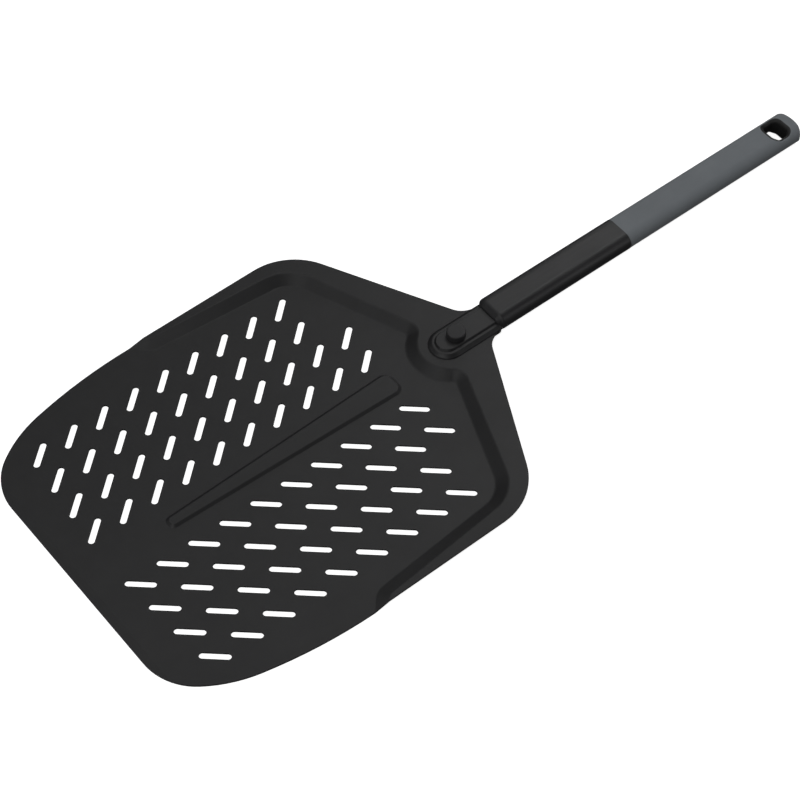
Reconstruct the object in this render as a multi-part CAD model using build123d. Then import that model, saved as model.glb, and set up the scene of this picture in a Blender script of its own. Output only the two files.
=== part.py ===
from build123d import *
import math
import os

# A perforated pizza peel. All sizes are in millimetres and all angles in degrees.
# +X is to the right, +Y runs from the blade's front edge to the end of the grip, +Z is up.
# The origin is in the middle of the whole object's length and width, at the blade's underside.
# Places along the peel are given as distances behind the blade's front edge.

LENGTH = 704.8
FRONT = -LENGTH / 2

# Blade outline
BLADE_WIDTH = 303.0
FRONT_STRAIGHT = 167.0
FRONT_ARCS = ((48.5, 54.0), (109.5, 23.0))  # radius and angle of each arc after the front edge
SIDE_END = 269.2
SIDE_CORNER_RADIUS = 51.0
SHOULDER_ANGLE = 27.0
NECK_FILLET = 18.0
TAB_WIDTH = 29.4
TAB_END = 383.8
TAB_CORNER = 3.3

# Pressed shape of the sheet
SHEET = 1.5
PAD_RISE = 5.3
RIM_SLOPE = 0.0203
PAD_START = 282.0
RIM_FRONT = 145.0
TRAY_HALF_WIDTH = 130.1
TRAY_WIDTH_STATION = 263.8
TRAY_TOE = 0.08
TRAY_RUNOUT = 162.2
TRAY_FRONT = 90.0
TRAY_RUNOUT_ANGLE = 40.0
TRAY_RUNOUT_RADIUS = 17.0
TRAY_APEX = 337.1
TRAY_SHOULDER_SLOPE = 0.40
TRAY_CORNER_RADIUS = 25.0
LOBE_CENTRE = 342.8
LOBE_RADIUS = 33.4
LOBE_VALLEY_RADIUS = 4.0
WALL_RUN = 10.0
WALL_ROUNDING = 3.0
RIB_FRONT = 79.6
RIB_REAR = 290.7
RIB_FRONT_HALF = 5.6
RIB_REAR_HALF = 11.6
RIB_HEIGHT = 1.5
RIB_TAPER = 58.0
BEVEL_WIDTH = 6.2
BEVEL_EDGE = 0.5

# Slots: four rows on each side, leaning outwards to the rear
SLOT_PITCH = 27.7
SLOT_LAST = 263.8
SLOT_ROW_X = 29.1
SLOT_ROW_SPACING = 27.0
SLOT_ROW_STAGGER = 2.15
SLOT_LENGTH = 23.1
SLOT_WIDTH = 5.0
SLOT_ANGLE = 48.4
SLOT_COUNTS = (10, 10, 9, 9)  # from the innermost row to the outermost

# Neck bracket
JAW_FRONT = 325.6
JAW_WIDTH = 29.8
JAW_TOP = 11.6
JAW_STEP = 0.8
JAW_FLAT_WIDTH = 17.8
JAW_ROUNDING = 0.6
JAW_WALL_RUN = 1.0
JAW_BEAD_TOP = 9.8
JAW_BEAD_RUN = 2.9
JAW_BEAD_ROUNDING = 1.4
LOWER_JAW_BOTTOM = 2.5
LOWER_JAW_FRONT = 327.0
LOWER_JAW_ROUNDING = 1.2
TANG_WIDTH = 20.0
TANG_BOTTOM = 3.3
TANG_END = 432.0

# Release button and its lock pin
BUTTON_STATION = 349.1
BUTTON_RADIUS = 7.5
BUTTON_TOP = 16.5
BUTTON_SEAT = 8.0
BUTTON_TRAVEL = 2.2
BUTTON_CLEARANCE = 0.1
BUTTON_ROUNDING = 1.0
BUTTON_WALL = 0.9
BUTTON_TOP_WALL = 1.5
SPRING_WIRE = 0.6
SPRING_TOP = 12.6
SPRING_RADIUS = 5.4
PIN_RADIUS = 3.0
PIN_COLLAR_RADIUS = 4.5
PIN_COLLAR_BOTTOM = 4.8
PIN_CLEARANCE = 0.08
PIN_NECK_SLOT = 6.6
PIN_THREAD_RADIUS = 2.0

# Handle
HANDLE_CENTRE = 9.05
SLEEVE_WIDTH = 30.2
SLEEVE_HEIGHT = 16.6
SLEEVE_RADIUS = 8.2
SLEEVE_WALL = 1.6
NOSE_FRONT = 381.2
NOSE_END = 389.5
NOSE_BEVEL_LENGTH = 3.2
NOSE_BEVEL_DEPTH = 4.4
NOSE_ROUNDING = 3.0
NOSE_SPIGOT_END = 436.0
FIT_GAP = 0.1
PARTING = 515.3
GRIP_WIDTH = 29.8
GRIP_HEIGHT = 16.3
GRIP_RADIUS = 8.05
GRIP_END_RADIUS = 29.0
GRIP_END_CORNER = 2.5
GRIP_END_ROUNDING = 1.0
GRIP_SKIN = 2.4
CORE_FRONT = 470.0
BAR_WIDTH = 14.0
BAR_THICKNESS = 4.0
BAR_FRONT = 474.0
BAR_END = 668.0
HOLE_CENTRE = 685.8
HOLE_WIDTH = 17.2
HOLE_LENGTH = 15.2
HOLE_CORNER = 4.7
HOLE_ROUNDING = 2.6
EYELET_WALL = 2.9

# Countersunk screws, all driven from below
SCREW_RADIUS = 2.0
SCREW_HEAD_RADIUS = 3.75
SCREW_SOCKET_RADIUS = 1.45  # to the corners of the hexagon
SCREW_SOCKET_DEPTH = 1.3
TANG_SCREWS = (401.0, 421.0)
TANG_SCREW_TOP = 10.5
GRIP_SCREWS = (483.0, 503.0)
GRIP_SCREW_TOP = 7.0

PAD_TOP = SHEET + PAD_RISE
PAD_UNDERSIDE = PAD_RISE
BUTTON_BOTTOM = BUTTON_SEAT + BUTTON_TRAVEL + BUTTON_CLEARANCE
FAR = 200.0  # further out than any side of the blade


def at(distance):
    """Place along Y of a point this far behind the blade's front edge."""
    return FRONT + distance


def prism(face, low, high):
    """The upright prism over a face in the XY plane, between two heights."""
    return extrude(Pos(0, 0, low) * face, amount=high - low)


def block(width, front, end, low, high):
    """A box centred on the peel's middle plane."""
    return Pos(0, at((front + end) / 2), (low + high) / 2) * Box(width, end - front, high - low)


def upright_cylinder(radius, station, low, high):
    return Pos(0, at(station), (low + high) / 2) * Cylinder(radius, high - low)


def blade_outline():
    """The blade seen from above, tangent arcs and straight lines all round."""
    half = BLADE_WIDTH / 2
    (radius_1, angle_1), (radius_2, angle_2) = FRONT_ARCS
    turn = math.radians(SHOULDER_ANGLE)
    with BuildSketch() as sketch:
        with BuildLine():
            edge = Line((0, at(0)), (FRONT_STRAIGHT / 2, at(0)))
            arc_1 = JernArc(edge @ 1, edge % 1, radius_1, angle_1)
            arc_2 = JernArc(arc_1 @ 1, arc_1 % 1, radius_2, angle_2)
            angle_left = 90 - angle_1 - angle_2
            width_left = half - (arc_2 @ 1).X
            radius_3 = width_left / (1 - math.cos(math.radians(angle_left)))
            arc_3 = JernArc(arc_2 @ 1, arc_2 % 1, radius_3, angle_left)
            side = Line(arc_3 @ 1, (half, at(SIDE_END)))
            corner = JernArc(side @ 1, (0, 1), SIDE_CORNER_RADIUS, 90 - SHOULDER_ANGLE)
            neck_side = NECK_FILLET * (1 - math.sin(turn))
            run = ((corner @ 1).X - TAB_WIDTH / 2 - neck_side) / math.cos(turn)
            shoulder_end = (corner @ 1) + Vector(-math.cos(turn), math.sin(turn)) * run
            shoulder = Line(corner @ 1, shoulder_end)
            neck = JernArc(shoulder @ 1, shoulder % 1, NECK_FILLET, SHOULDER_ANGLE - 90)
            tab = Line(neck @ 1, (TAB_WIDTH / 2, at(TAB_END - TAB_CORNER)))
            tab_corner = JernArc(tab @ 1, (0, 1), TAB_CORNER, 90)
            Line(tab_corner @ 1, (0, at(TAB_END)))
            mirror(about=Plane.YZ)
        make_face()
    return sketch.face()


def tray_outline():
    """The tray's floor: open to the front, with a round lobe of the neck pad in its rear edge."""
    def wall_x(station):
        return TRAY_HALF_WIDTH - TRAY_TOE * (station - TRAY_WIDTH_STATION)

    # The side wall and the shoulder wall meet at this station
    rise = TRAY_APEX - TRAY_WIDTH_STATION
    corner = TRAY_WIDTH_STATION
    corner += (rise - TRAY_SHOULDER_SLOPE * TRAY_HALF_WIDTH) / (1 - TRAY_SHOULDER_SLOPE * TRAY_TOE)
    runout_x = wall_x(TRAY_RUNOUT)
    runout_front = TRAY_RUNOUT - (FAR - runout_x) * math.tan(math.radians(TRAY_RUNOUT_ANGLE))
    right = [
        (FAR, at(TRAY_FRONT)),
        (FAR, at(runout_front)),
        (runout_x, at(TRAY_RUNOUT)),
        (wall_x(corner), at(corner)),
        (0, at(TRAY_APEX)),
    ]
    left = [(-x, y) for x, y in reversed(right[:-1])]
    with BuildSketch() as sketch:
        with BuildLine():
            Polyline(*right, *left, close=True)
        make_face()
        runouts = [v for v in sketch.vertices() if abs(abs(v.X) - runout_x) < 0.01]
        fillet(runouts, TRAY_RUNOUT_RADIUS)
        corners = [v for v in sketch.vertices() if abs(v.Y - at(corner)) < 0.01]
        fillet(corners, TRAY_CORNER_RADIUS)
        with Locations((0, at(LOBE_CENTRE))):
            Circle(LOBE_RADIUS, mode=Mode.SUBTRACT)
        lobe_front = at(LOBE_CENTRE - LOBE_RADIUS)
        valleys = [v for v in sketch.vertices() if v.Y > lobe_front]
        fillet(valleys, LOBE_VALLEY_RADIUS)
    return sketch.face()


def rib_outline():
    """The centre rib, a long trapezium with round ends."""
    with BuildSketch() as sketch:
        with BuildLine():
            Polyline(
                (-RIB_FRONT_HALF, at(RIB_FRONT)),
                (RIB_FRONT_HALF, at(RIB_FRONT)),
                (RIB_REAR_HALF, at(RIB_REAR)),
                (-RIB_REAR_HALF, at(RIB_REAR)),
                close=True,
            )
        make_face()
        front = sketch.vertices().group_by(Axis.Y)[0]
        fillet(front, RIB_FRONT_HALF * 0.9)
        rear = sketch.vertices().group_by(Axis.Y)[-1]
        fillet(rear, RIB_REAR_HALF * 0.67)
    return sketch.face()


def on_level(edge, low, high):
    """Whether an edge lies wholly between two heights."""
    box = edge.bounding_box()
    return box.min.Z > low - 0.01 and box.max.Z < high + 0.01


def runs_aslant(edge):
    """Whether an edge covers some distance along both X and Y."""
    size = edge.bounding_box().size
    return size.X > 1 and size.Y > 1


def tray_cutter():
    """The tray's space. Its walls cover the same width all round, whatever the rim's height there."""
    share = 1.4  # how far the cutter goes on above the rim, as a share of the wall
    floor = tray_outline()
    mouth = offset(floor, amount=WALL_RUN * share, kind=Kind.INTERSECTION).face()
    tilt = math.degrees(math.atan(RIM_SLOPE * share))
    place = Pos(0, at(PAD_START), SHEET + PAD_RISE * share) * Rot(tilt, 0, 0) * Pos(0, -at(PAD_START), 0)
    return loft([Pos(0, 0, SHEET) * floor, place * mouth], ruled=True)


def pressed_surface():
    """A deep solid whose upper side is the upper side of the pressed sheet."""
    rim_low = PAD_TOP - RIM_SLOPE * (PAD_START - RIM_FRONT)
    with BuildPart() as body:
        with BuildSketch(Plane.YZ):
            with BuildLine():
                Polyline(
                    (at(-FAR / 2), -FAR),
                    (at(-FAR / 2), rim_low),
                    (at(RIM_FRONT), rim_low),
                    (at(PAD_START), PAD_TOP),
                    (at(TAB_END + FAR / 4), PAD_TOP),
                    (at(TAB_END + FAR / 4), -FAR),
                    close=True,
                )
            make_face()
        extrude(amount=FAR * 0.9, both=True)
    solid = body.part - tray_cutter() - block(2 * FAR, -FAR, TRAY_FRONT + 22, SHEET, FAR)
    foot = [e for e in solid.edges() if on_level(e, SHEET, SHEET) and runs_aslant(e)]
    solid = solid.fillet(WALL_ROUNDING, foot)
    brow = [e for e in solid.edges() if on_level(e, rim_low, PAD_TOP) and runs_aslant(e)]
    solid = solid.fillet(WALL_ROUNDING, brow)
    rib = extrude(Pos(0, 0, SHEET) * rib_outline(), amount=RIB_HEIGHT, taper=RIB_TAPER)
    return solid + rib


def slots():
    """Every slot of the blade, as one cutter."""
    slot = SlotOverall(SLOT_LENGTH, SLOT_WIDTH).face()
    cutters = []
    for row, count in enumerate(SLOT_COUNTS):
        x = SLOT_ROW_X + row * SLOT_ROW_SPACING
        first = -1 if count == 10 else 0
        shift = SLOT_ROW_STAGGER * (len(SLOT_COUNTS) - 1 - row)
        for step in range(first, first + count):
            y = at(SLOT_LAST - SLOT_PITCH * step - shift)
            for side in (1, -1):
                place = Pos(side * x, y, -1) * Rot(0, 0, side * SLOT_ANGLE)
                cutters.append(extrude(place * slot, amount=SHEET + 4))
    return cutters


def make_blade():
    """Pressed sheet with a raised rim and neck pad, a rib, slots and a bevelled front edge."""
    surface = pressed_surface()
    sheet = surface & prism(blade_outline(), -FAR / 2, PAD_TOP + 5)
    sheet = sheet - Pos(0, 0, -SHEET) * surface
    with BuildPart() as bevel:
        with BuildSketch(Plane.YZ):
            with BuildLine():
                Polyline(
                    (at(0), BEVEL_EDGE),
                    (at(BEVEL_WIDTH), SHEET),
                    (at(BEVEL_WIDTH), SHEET + 5),
                    (at(-5), SHEET + 5),
                    (at(-5), BEVEL_EDGE),
                    close=True,
                )
            make_face()
        extrude(amount=FAR, both=True)
    sheet = sheet - bevel.part
    sheet = sheet - slots()
    seat = upright_cylinder(PIN_COLLAR_RADIUS + PIN_CLEARANCE, BUTTON_STATION, 0, PAD_TOP + 5)
    neck_slot = block(PIN_NECK_SLOT, BUTTON_STATION, TAB_END + 5, 0, PAD_TOP + 5)
    return sheet - seat - neck_slot


def neck_outline(width, front, end=TAB_END):
    """A tongue with a round front end, running back under the nose of the handle."""
    radius = width / 2
    tongue = Pos(0, at(front + radius)) * Circle(radius)
    back = Pos(0, at((front + radius + end) / 2)) * Rectangle(width, end - front - radius)
    return (tongue + back).face()


def tang(low, high, front):
    """The part of a jaw that goes into the handle's nose plug."""
    return block(TANG_WIDTH, front, TANG_END, low, high)


def jaw_form():
    """The bracket above the pad: a rounded bead all round, then a short wall up to the flat top."""
    outline = neck_outline(JAW_WIDTH, JAW_FRONT, TAB_END + JAW_WIDTH)
    step_top = PAD_TOP + JAW_STEP
    bead_height = JAW_BEAD_TOP - step_top
    bead_slope = math.degrees(math.atan(JAW_BEAD_RUN / bead_height))
    bead = prism(outline, PAD_TOP, step_top)
    bead += extrude(Pos(0, 0, step_top) * outline, amount=bead_height, taper=bead_slope)
    rims = [e for e in bead.edges() if on_level(e, step_top, JAW_BEAD_TOP)
            and e.bounding_box().size.Z < 0.01 and e.bounding_box().min.Y < at(TAB_END)]
    bead = bead.fillet(JAW_BEAD_ROUNDING, rims)
    base_width = JAW_FLAT_WIDTH + 2 * JAW_WALL_RUN
    inner = neck_outline(base_width, JAW_FRONT + (JAW_WIDTH - base_width) / 2, TAB_END + JAW_WIDTH)
    wall_height = JAW_TOP - JAW_BEAD_TOP
    wall_slope = math.degrees(math.atan(JAW_WALL_RUN / wall_height))
    top = prism(inner, PAD_TOP, JAW_BEAD_TOP)
    top += extrude(Pos(0, 0, JAW_BEAD_TOP) * inner, amount=wall_height, taper=wall_slope)
    top_rims = [e for e in top.edges() if on_level(e, JAW_TOP, JAW_TOP)
                and e.bounding_box().min.Y < at(TAB_END)]
    return bead + top.fillet(JAW_ROUNDING, top_rims)


def make_upper_jaw():
    """Cast bracket on the neck pad, with a pocket for the button and a tang for the handle."""
    body = jaw_form()
    body -= block(JAW_WIDTH + 2, TAB_END, TAB_END + 2 * JAW_WIDTH, 0, JAW_TOP + 5)
    body += tang(PAD_UNDERSIDE, JAW_TOP, TAB_END - 1)
    body -= block(TANG_WIDTH + 1, TAB_END - 1, TAB_END, 0, PAD_TOP)
    pocket = BUTTON_RADIUS + BUTTON_CLEARANCE
    body -= upright_cylinder(pocket, BUTTON_STATION, BUTTON_SEAT, JAW_TOP + 5)
    body -= upright_cylinder(PIN_RADIUS + PIN_CLEARANCE, BUTTON_STATION, PAD_TOP - 1, BUTTON_SEAT + 1)
    return body - tang_screws()


def rear_edge(edge):
    """Whether an edge lies in the jaw's rear end face."""
    return edge.bounding_box().min.Y > at(TAB_END) - 0.01


def make_lower_jaw():
    """Plate under the neck tab, bored for the lock pin, with its own half of the tang."""
    body = prism(neck_outline(TAB_WIDTH, LOWER_JAW_FRONT), LOWER_JAW_BOTTOM, PAD_UNDERSIDE)
    corners = [e for e in body.edges().filter_by(Axis.Z) if rear_edge(e)]
    body = body.fillet(TAB_CORNER, corners)
    under = [e for e in body.edges() if on_level(e, LOWER_JAW_BOTTOM, LOWER_JAW_BOTTOM)]
    body = body.fillet(LOWER_JAW_ROUNDING, under)
    body += tang(TANG_BOTTOM, PAD_UNDERSIDE, TAB_END - 5)
    bore = PIN_COLLAR_RADIUS + PIN_CLEARANCE
    body -= upright_cylinder(bore, BUTTON_STATION, LOWER_JAW_BOTTOM - 1, PAD_UNDERSIDE + 1)
    return body - tang_screws()


def make_release_button():
    """Round cap, hollow below for the spring, with a boss that the lock pin screws into."""
    cap = upright_cylinder(BUTTON_RADIUS, BUTTON_STATION, BUTTON_BOTTOM, BUTTON_TOP)
    crown = [e for e in cap.edges() if on_level(e, BUTTON_TOP, BUTTON_TOP)]
    cap = cap.fillet(BUTTON_ROUNDING, crown)
    hollow = upright_cylinder(BUTTON_RADIUS - BUTTON_WALL, BUTTON_STATION, BUTTON_BOTTOM - 1, SPRING_TOP)
    boss = upright_cylinder(PIN_RADIUS + 1.0, BUTTON_STATION, BUTTON_BOTTOM, SPRING_TOP)
    return cap - hollow + boss - make_lock_pin()


def make_lock_pin():
    """Stem with a collar that fills the seat in the blade's tab, and a thread into the button."""
    collar = upright_cylinder(PIN_COLLAR_RADIUS, BUTTON_STATION, PIN_COLLAR_BOTTOM, PAD_TOP - 0.05)
    lower_edge = [e for e in collar.edges() if on_level(e, PIN_COLLAR_BOTTOM, PIN_COLLAR_BOTTOM)]
    collar = collar.chamfer(0.5, None, lower_edge)
    stem = upright_cylinder(PIN_RADIUS, BUTTON_STATION, PIN_COLLAR_BOTTOM, BUTTON_BOTTOM)
    thread_top = BUTTON_TOP - BUTTON_TOP_WALL
    thread = upright_cylinder(PIN_THREAD_RADIUS, BUTTON_STATION, BUTTON_BOTTOM, thread_top)
    return collar + stem + thread


def make_button_spring():
    """Open coil spring between the upper jaw's pocket and the button."""
    rise = SPRING_TOP - BUTTON_SEAT - SPRING_WIRE
    turns = 2
    coil = Helix(pitch=rise / turns, height=rise, radius=SPRING_RADIUS)
    wire = Plane(origin=coil @ 0, z_dir=coil % 0) * Circle(SPRING_WIRE / 2)
    spring = sweep(wire, path=coil, is_frenet=True)
    return Pos(0, at(BUTTON_STATION), BUTTON_SEAT + SPRING_WIRE / 2) * spring


def oval(width, height, radius, front, end):
    """A bar of oval section along Y, on the handle's centre line."""
    section = Plane.XZ * RectangleRounded(width, height, radius)
    bar = extrude(section, amount=end - front)
    return Pos(0, at(end), HANDLE_CENTRE) * bar


def spigot(front, end):
    """A bar that fits inside the sleeve."""
    shrink = 2 * (SLEEVE_WALL + FIT_GAP)
    radius = SLEEVE_RADIUS - SLEEVE_WALL - FIT_GAP
    return oval(SLEEVE_WIDTH - shrink, SLEEVE_HEIGHT - shrink, radius, front, end)


def make_nose_plug():
    """Bevelled front end of the handle, with a long spigot that carries the tang."""
    nose = oval(SLEEVE_WIDTH, SLEEVE_HEIGHT, SLEEVE_RADIUS, NOSE_FRONT, NOSE_END)
    front_face = nose.faces().sort_by(Axis.Y)[0]
    nose = nose.chamfer(NOSE_BEVEL_DEPTH, NOSE_BEVEL_LENGTH, front_face.edges(), front_face)
    bevel_end = at(NOSE_FRONT + NOSE_BEVEL_LENGTH)
    ring = [e for e in nose.edges() if abs(e.bounding_box().min.Y - bevel_end) < 0.01
            and e.bounding_box().size.Y < 0.01]
    nose = nose.fillet(NOSE_ROUNDING, ring)
    plug = nose + spigot(NOSE_END, NOSE_SPIGOT_END)
    plug -= prism(neck_outline(JAW_WIDTH, JAW_FRONT), LOWER_JAW_BOTTOM, PAD_TOP + JAW_STEP)
    plug -= make_upper_jaw()
    plug -= make_lower_jaw()
    plug -= block(TANG_WIDTH, TAB_END - 1, TANG_END + 1, TANG_BOTTOM, JAW_TOP)
    return plug - tang_screws()


def make_front_sleeve():
    """Oval tube between the nose plug and the grip."""
    tube = oval(SLEEVE_WIDTH, SLEEVE_HEIGHT, SLEEVE_RADIUS, NOSE_END, PARTING)
    bore = oval(SLEEVE_WIDTH - 2 * SLEEVE_WALL, SLEEVE_HEIGHT - 2 * SLEEVE_WALL,
                SLEEVE_RADIUS - SLEEVE_WALL, NOSE_END - 1, PARTING + 1)
    return tube - bore - tang_screws() - grip_screws()


def screws(stations, top):
    """Countersunk screws whose heads are flush with the sleeve's flat underside."""
    bottom = HANDLE_CENTRE - SLEEVE_HEIGHT / 2
    cone = SCREW_HEAD_RADIUS - SCREW_RADIUS
    group = []
    for station in stations:
        place = Pos(0, at(station), bottom + cone / 2)
        head = place * Cone(SCREW_HEAD_RADIUS, SCREW_RADIUS, cone)
        group.append(head + upright_cylinder(SCREW_RADIUS, station, bottom + cone, top))
    return group


def with_sockets(group, stations):
    """The same screws with a hexagon socket in each head."""
    bottom = HANDLE_CENTRE - SLEEVE_HEIGHT / 2
    finished = []
    for screw, station in zip(group, stations):
        hexagon = (Pos(0, at(station)) * RegularPolygon(SCREW_SOCKET_RADIUS, 6)).face()
        finished.append(screw - prism(hexagon, bottom, bottom + SCREW_SOCKET_DEPTH))
    return Compound(children=finished)


def tang_screws():
    return screws(TANG_SCREWS, TANG_SCREW_TOP)


def grip_screws():
    return screws(GRIP_SCREWS, GRIP_SCREW_TOP)


def grip_body(inset):
    """The grip's outer form, shrunk all round by an inset: an oval bar with a bowed rear end."""
    width = GRIP_WIDTH - 2 * inset
    height = GRIP_HEIGHT - 2 * inset
    bar = oval(width, height, GRIP_RADIUS - inset, PARTING, LENGTH + GRIP_END_RADIUS)
    side = GRIP_WIDTH / 2 - inset + FIT_GAP
    bow = GRIP_END_RADIUS - inset
    centre = LENGTH - GRIP_END_RADIUS
    shoulder = centre + math.sqrt(bow ** 2 - side ** 2)
    with BuildSketch() as plan:
        with BuildLine():
            Polyline(
                (side, at(shoulder)), (side, at(PARTING)), (-side, at(PARTING)), (-side, at(shoulder)),
            )
            ThreePointArc((-side, at(shoulder)), (0, at(LENGTH - inset)), (side, at(shoulder)))
        make_face()
        fillet(plan.vertices().group_by(Axis.Y)[-1], GRIP_END_CORNER)
    body = bar & prism(plan.face(), 0, 2 * HANDLE_CENTRE)
    end_edges = [e for e in body.edges() if e.bounding_box().min.Y > at(shoulder - 2 * GRIP_END_CORNER)]
    return body.fillet(GRIP_END_ROUNDING, end_edges)


def hole_prism(outset):
    """The hanging hole's upright form, grown all round by an outset."""
    form = RectangleRounded(HOLE_WIDTH + 2 * outset, HOLE_LENGTH + 2 * outset, HOLE_CORNER + outset)
    return prism((Pos(0, at(HOLE_CENTRE)) * form).face(), -5, HANDLE_CENTRE + SLEEVE_HEIGHT)


def pierced_grip():
    """The grip's outer form with the hanging hole through it, its two mouths well rounded."""
    body = grip_body(0) - hole_prism(0)
    reach = HOLE_LENGTH / 2 + 0.1
    mouths = [e for e in body.edges() if e.bounding_box().min.Y > at(HOLE_CENTRE - reach)
              and e.bounding_box().max.Y < at(HOLE_CENTRE + reach)
              and e.bounding_box().size.Z < GRIP_RADIUS]
    return body.fillet(HOLE_ROUNDING, mouths)


def make_hanging_eyelet():
    """Black lining of the hanging hole, flush with the grip's surface at both mouths."""
    return pierced_grip() & hole_prism(EYELET_WALL)


def make_core_bar():
    """Flat bar inside the grip's core."""
    half = BAR_THICKNESS / 2
    return block(BAR_WIDTH, BAR_FRONT, BAR_END, HANDLE_CENTRE - half, HANDLE_CENTRE + half)


def make_grip_core():
    """Moulded core: a spigot in the sleeve, then a body that fills the grip's skin."""
    core = grip_body(GRIP_SKIN) + spigot(CORE_FRONT, PARTING)
    return core - hole_prism(EYELET_WALL) - make_core_bar() - grip_screws()


def make_grip_shell():
    """Grey skin of the grip, open where the eyelet goes through."""
    return pierced_grip() - grip_body(GRIP_SKIN) - hole_prism(EYELET_WALL)


def main():
    os.makedirs("parts", exist_ok=True)
    nodes = {
        "blade": make_blade(),
        "upper_jaw": make_upper_jaw(),
        "lower_jaw": make_lower_jaw(),
        "release_button": make_release_button(),
        "lock_pin": make_lock_pin(),
        "button_spring": make_button_spring(),
        "nose_plug": make_nose_plug(),
        "tang_screws": with_sockets(tang_screws(), TANG_SCREWS),
        "front_sleeve": make_front_sleeve(),
        "grip_core": make_grip_core(),
        "core_bar": make_core_bar(),
        "grip_screws": with_sockets(grip_screws(), GRIP_SCREWS),
        "grip_shell": make_grip_shell(),
        "hanging_eyelet": make_hanging_eyelet(),
    }
    for name, solid in nodes.items():
        export_step(solid, f"parts/{name}.step")
        print(name, round(solid.volume, 1))


if __name__ == "__main__":
    main()
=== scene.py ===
import math

import bpy
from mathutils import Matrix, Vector


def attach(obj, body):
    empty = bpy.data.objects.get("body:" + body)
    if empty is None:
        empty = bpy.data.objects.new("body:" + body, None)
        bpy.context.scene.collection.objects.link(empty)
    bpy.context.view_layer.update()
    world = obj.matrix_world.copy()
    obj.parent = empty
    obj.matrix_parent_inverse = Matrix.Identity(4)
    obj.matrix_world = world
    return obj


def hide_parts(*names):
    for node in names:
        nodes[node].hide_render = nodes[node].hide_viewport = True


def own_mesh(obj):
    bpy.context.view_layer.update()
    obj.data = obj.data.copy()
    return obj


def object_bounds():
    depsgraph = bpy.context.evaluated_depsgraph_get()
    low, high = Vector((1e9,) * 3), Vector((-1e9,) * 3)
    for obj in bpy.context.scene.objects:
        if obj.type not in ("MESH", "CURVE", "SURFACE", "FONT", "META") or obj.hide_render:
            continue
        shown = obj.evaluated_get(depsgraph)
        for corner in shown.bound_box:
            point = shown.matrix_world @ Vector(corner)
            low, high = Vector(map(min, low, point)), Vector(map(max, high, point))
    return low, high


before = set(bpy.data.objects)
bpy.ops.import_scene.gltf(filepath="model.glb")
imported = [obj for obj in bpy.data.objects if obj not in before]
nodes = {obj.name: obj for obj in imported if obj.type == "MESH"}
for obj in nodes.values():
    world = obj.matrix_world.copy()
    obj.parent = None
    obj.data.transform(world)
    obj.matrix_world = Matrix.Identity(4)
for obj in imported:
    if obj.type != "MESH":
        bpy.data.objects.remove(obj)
cad_low, cad_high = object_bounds()
scene = bpy.context.scene

FRONT = cad_low.y  # the blade's front edge
MM = 0.001

# Camera, at the photograph's viewing angle
CAMERA_PLACE = (846.1 * MM, FRONT - 382.9 * MM, 1402.2 * MM)
CAMERA_ANGLES = (37.2, -0.02, 51.35)
CAMERA_LENS = 105.37
SENSOR_WIDTH = 36.0
CLIP_NEAR = 0.05
CLIP_FAR = 50.0


def make_camera():
    """The camera of the main picture."""
    data = bpy.data.cameras.new("camera")
    data.lens = CAMERA_LENS
    data.sensor_width = SENSOR_WIDTH
    data.clip_start = CLIP_NEAR
    data.clip_end = CLIP_FAR
    camera = bpy.data.objects.new("camera", data)
    camera.location = CAMERA_PLACE
    camera.rotation_euler = [math.radians(a) for a in CAMERA_ANGLES]
    scene.collection.objects.link(camera)
    scene.camera = camera


# Soft round lights on a dome over the peel: name, azimuth and elevation in degrees, watts and
# size in metres. Azimuth 0 is in front of the blade's front edge and 90 is to the right.
DOME_LIGHTS = (
    ("low_front", 0.0, 20.0, 5.0, 1.3),
    ("low_right_front", 45.0, 20.0, 4.0, 1.3),
    ("low_right_rear", 135.0, 20.0, 5.7, 1.3),
    ("low_left_rear", 225.0, 20.0, 3.5, 1.3),
    ("low_left_front", 315.0, 20.0, 1.3, 1.3),
    ("front_right", 22.5, 45.0, 5.3, 1.3),
    ("behind_left", 202.5, 45.0, 8.0, 1.3),
    ("left_front", 292.5, 45.0, 0.9, 1.3),
    ("high_front", 0.0, 68.0, 1.6, 0.5),
    ("high_left_rear", 240.0, 68.0, 2.7, 1.3),
    ("high_left_front", 300.0, 68.0, 2.7, 1.3),
)
DOME_RADIUS = 2.4
DOME_FORWARD = 0.05  # the dome's centre is this far in front of the peel's middle
AMBIENT = 0.05

# The middle range of a noise, which most of its values lie in
NOISE_LOW = 0.3
NOISE_HIGH = 0.7

FLOOR_HALF_WIDTH = 6.0
FLOOR_GAP = 0.0003
FLOOR_GLOW = 0.9


def make_lights():
    """The dome of area lights and a faint even sky."""
    middle = (cad_low + cad_high) / 2
    aim = Vector((0, middle.y - DOME_FORWARD, 0))
    for name, azimuth, elevation, watts, size in DOME_LIGHTS:
        turn, rise = math.radians(azimuth), math.radians(elevation)
        flat = math.cos(rise)
        away = Vector((math.sin(turn) * flat, -math.cos(turn) * flat, math.sin(rise)))
        data = bpy.data.lights.new(name, "AREA")
        data.shape = "DISK"
        data.size = size
        data.energy = watts
        lamp = bpy.data.objects.new(name, data)
        lamp.location = aim + away * DOME_RADIUS
        lamp.rotation_euler = away.to_track_quat("Z", "Y").to_euler()
        scene.collection.objects.link(lamp)
    world = bpy.data.worlds.new("studio")
    world.use_nodes = True
    background = world.node_tree.nodes["Background"]
    background.inputs["Color"].default_value = (1.0, 1.0, 1.0, 1.0)
    background.inputs["Strength"].default_value = AMBIENT
    scene.world = world
    scene.view_settings.view_transform = "Standard"


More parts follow.
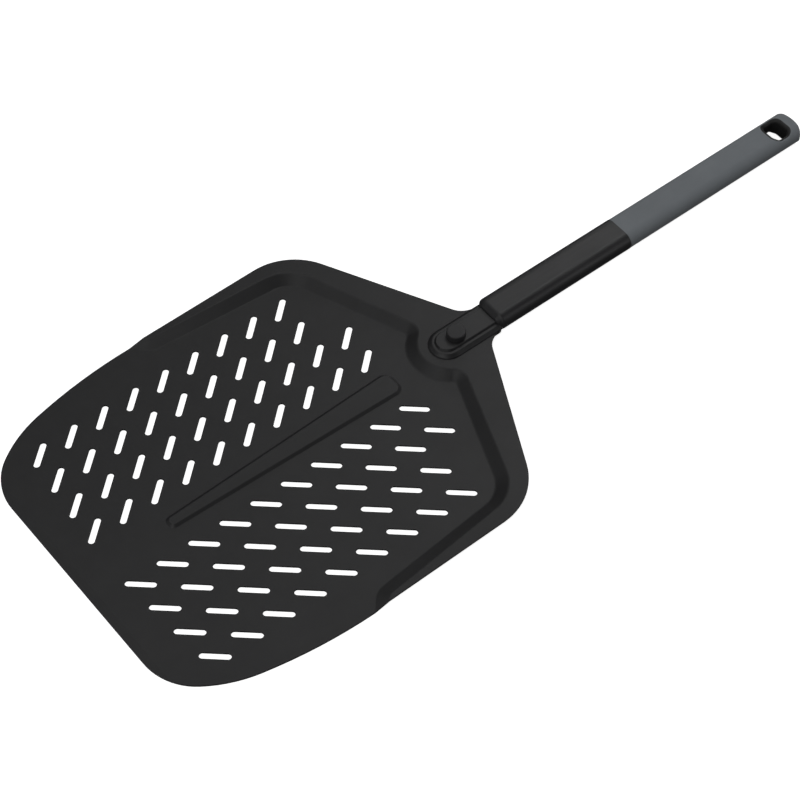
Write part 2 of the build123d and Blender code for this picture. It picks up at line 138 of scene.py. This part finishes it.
class Finish:
    """A procedural material: a Principled shader with colour, gloss and relief from noise."""

    def __init__(self, name, colour, roughness, metallic=0.0):
        self.material = bpy.data.materials.new(name)
        self.material.use_nodes = True
        self.tree = self.material.node_tree
        self.shader = self.tree.nodes["Principled BSDF"]
        self.shader.inputs["Base Color"].default_value = (*colour, 1.0)
        self.shader.inputs["Roughness"].default_value = roughness
        self.shader.inputs["Metallic"].default_value = metallic
        self.colour = colour
        self.roughness = roughness
        self.place = self.tree.nodes.new("ShaderNodeTexCoord").outputs["Object"]

    def link(self, source, target):
        self.tree.links.new(source, target)

    def noise(self, scale, detail=2.0, stretch=(1.0, 1.0, 1.0), rough=0.5):
        """Noise between 0 and 1 over the object's own coordinates, in cells per metre."""
        mapping = self.tree.nodes.new("ShaderNodeMapping")
        mapping.inputs["Scale"].default_value = stretch
        self.link(self.place, mapping.inputs["Vector"])
        noise = self.tree.nodes.new("ShaderNodeTexNoise")
        noise.inputs["Scale"].default_value = scale
        noise.inputs["Detail"].default_value = detail
        noise.inputs["Roughness"].default_value = rough
        self.link(mapping.outputs["Vector"], noise.inputs["Vector"])
        return noise.outputs["Fac"]

    def ramp(self, source, low, high):
        """The source's middle range as a number from low to high."""
        spread = self.tree.nodes.new("ShaderNodeMapRange")
        spread.inputs["From Min"].default_value = NOISE_LOW
        spread.inputs["From Max"].default_value = NOISE_HIGH
        spread.inputs["To Min"].default_value = low
        spread.inputs["To Max"].default_value = high
        self.link(source, spread.inputs["Value"])
        return spread.outputs["Result"]

    def vary_colour(self, source, amount):
        """Lightens and darkens the colour by a share of itself."""
        ramp = self.tree.nodes.new("ShaderNodeValToRGB")
        ends = ramp.color_ramp.elements
        ends[0].position = NOISE_LOW
        ends[1].position = NOISE_HIGH
        ends[0].color = (*[c * (1 - amount) for c in self.colour], 1.0)
        ends[1].color = (*[c * (1 + amount) for c in self.colour], 1.0)
        self.link(source, ramp.inputs["Fac"])
        self.link(ramp.outputs["Color"], self.shader.inputs["Base Color"])

    def vary_roughness(self, source, amount):
        """Makes the surface rougher and smoother by an amount either way."""
        value = self.ramp(source, self.roughness - amount, self.roughness + amount)
        self.link(value, self.shader.inputs["Roughness"])

    def relief(self, source, height, strength=1.0):
        """Bump of a height in metres; a second call is laid over the first."""
        bump = self.tree.nodes.new("ShaderNodeBump")
        bump.inputs["Strength"].default_value = strength
        bump.inputs["Distance"].default_value = height
        self.link(source, bump.inputs["Height"])
        if self.shader.inputs["Normal"].links:
            self.link(self.shader.inputs["Normal"].links[0].from_socket, bump.inputs["Normal"])
        self.link(bump.outputs["Normal"], self.shader.inputs["Normal"])


def anodised(name, colour, roughness, grain, depth):
    """Black anodised metal: a fine even grain, faint mottling and uneven gloss."""
    finish = Finish(name, colour, roughness)
    finish.vary_colour(finish.noise(60, 4), 0.10)
    finish.vary_roughness(finish.noise(18, 5, rough=0.6), 0.035)
    finish.relief(finish.noise(grain, 2), depth)
    return finish


def make_finishes():
    """Every CAD node's name with its finish."""
    blade = anodised("blade_finish", (0.0165, 0.0165, 0.0175), 0.46, 1500, 0.00001)
    casting = anodised("casting_finish", (0.015, 0.015, 0.016), 0.38, 1100, 0.000016)
    button = anodised("button_finish", (0.03, 0.03, 0.0315), 0.42, 1600, 0.000008)
    button.shader.inputs["Specular IOR Level"].default_value = 0.35

    sleeve = Finish("sleeve_finish", (0.023, 0.023, 0.0245), 0.43)
    sleeve.vary_colour(sleeve.noise(45, 4), 0.10)
    sleeve.vary_roughness(sleeve.noise(700, 3, stretch=(1.0, 0.04, 1.0)), 0.05)
    sleeve.relief(sleeve.noise(1300, 2, stretch=(1.0, 0.08, 1.0)), 0.000007)

    grip = Finish("grip_finish", (0.220, 0.240, 0.259), 0.72)
    grip.vary_colour(grip.noise(38, 5, rough=0.55), 0.05)
    grip.vary_roughness(grip.noise(120, 3), 0.05)
    grip.relief(grip.noise(1700, 2), 0.00003)
    grip.relief(grip.noise(420, 3), 0.00002)
    grip.shader.inputs["Sheen Weight"].default_value = 0.15
    grip.shader.inputs["Sheen Roughness"].default_value = 0.5

    moulded = Finish("moulded_finish", (0.012, 0.012, 0.0125), 0.6)
    moulded.vary_colour(moulded.noise(90, 3), 0.12)
    moulded.vary_roughness(moulded.noise(200, 3), 0.06)
    moulded.relief(moulded.noise(1500, 2), 0.00002)

    steel = Finish("steel_finish", (0.42, 0.42, 0.43), 0.3, metallic=1.0)
    steel.vary_colour(steel.noise(300, 4), 0.08)
    steel.vary_roughness(steel.noise(2500, 2, stretch=(1.0, 0.15, 1.0)), 0.08)
    steel.relief(steel.noise(3000, 2, stretch=(1.0, 0.1, 1.0)), 0.000006)

    bar = Finish("aluminium_finish", (0.62, 0.62, 0.64), 0.38, metallic=1.0)
    bar.vary_colour(bar.noise(200, 4), 0.06)
    bar.vary_roughness(bar.noise(1800, 2, stretch=(1.0, 0.03, 1.0)), 0.08)
    bar.relief(bar.noise(2200, 2, stretch=(1.0, 0.03, 1.0)), 0.000006)

    return {
        "blade": blade, "upper_jaw": casting, "lower_jaw": casting, "release_button": button,
        "nose_plug": sleeve, "front_sleeve": sleeve, "grip_shell": grip, "grip_core": moulded,
        "hanging_eyelet": moulded, "lock_pin": steel, "button_spring": steel,
        "tang_screws": steel, "grip_screws": steel, "core_bar": bar,
    }


def paint(finishes):
    """Gives every CAD node its finish, in the slots that it already has."""
    for name, node in nodes.items():
        if not node.material_slots:
            node.data.materials.append(None)
        for holder in node.material_slots:
            holder.material = finishes[name].material


def make_spring():
    """The button's spring as a piece of its own with its own mesh, on the peel, in place of the
    hidden CAD node.
    """
    node = nodes["button_spring"]
    spring = bpy.data.objects.new("pressed_spring", node.data.copy())
    scene.collection.objects.link(spring)
    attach(spring, "peel")
    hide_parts("button_spring")
    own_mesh(spring)


def make_floor():
    """A plain white floor just under the blade, bright enough to read as paper.
    It isn't mirrored in the peel and throws no light on it."""
    half = FLOOR_HALF_WIDTH
    mesh = bpy.data.meshes.new("floor")
    corners = [(-half, -half, 0), (half, -half, 0), (half, half, 0), (-half, half, 0)]
    mesh.from_pydata(corners, [], [(0, 1, 2, 3)])
    floor = bpy.data.objects.new("floor", mesh)
    floor.location.z = cad_low.z - FLOOR_GAP
    scene.collection.objects.link(floor)
    floor.visible_glossy = False
    floor.visible_diffuse = False
    finish = Finish("floor_finish", (0.9, 0.9, 0.9), 0.8)
    finish.vary_colour(finish.noise(3, 3), 0.01)
    finish.shader.inputs["Emission Color"].default_value = (1.0, 1.0, 1.0, 1.0)
    finish.shader.inputs["Emission Strength"].default_value = FLOOR_GLOW
    mesh.materials.append(finish.material)


make_camera()
make_lights()
make_floor()
paint(make_finishes())
make_spring()
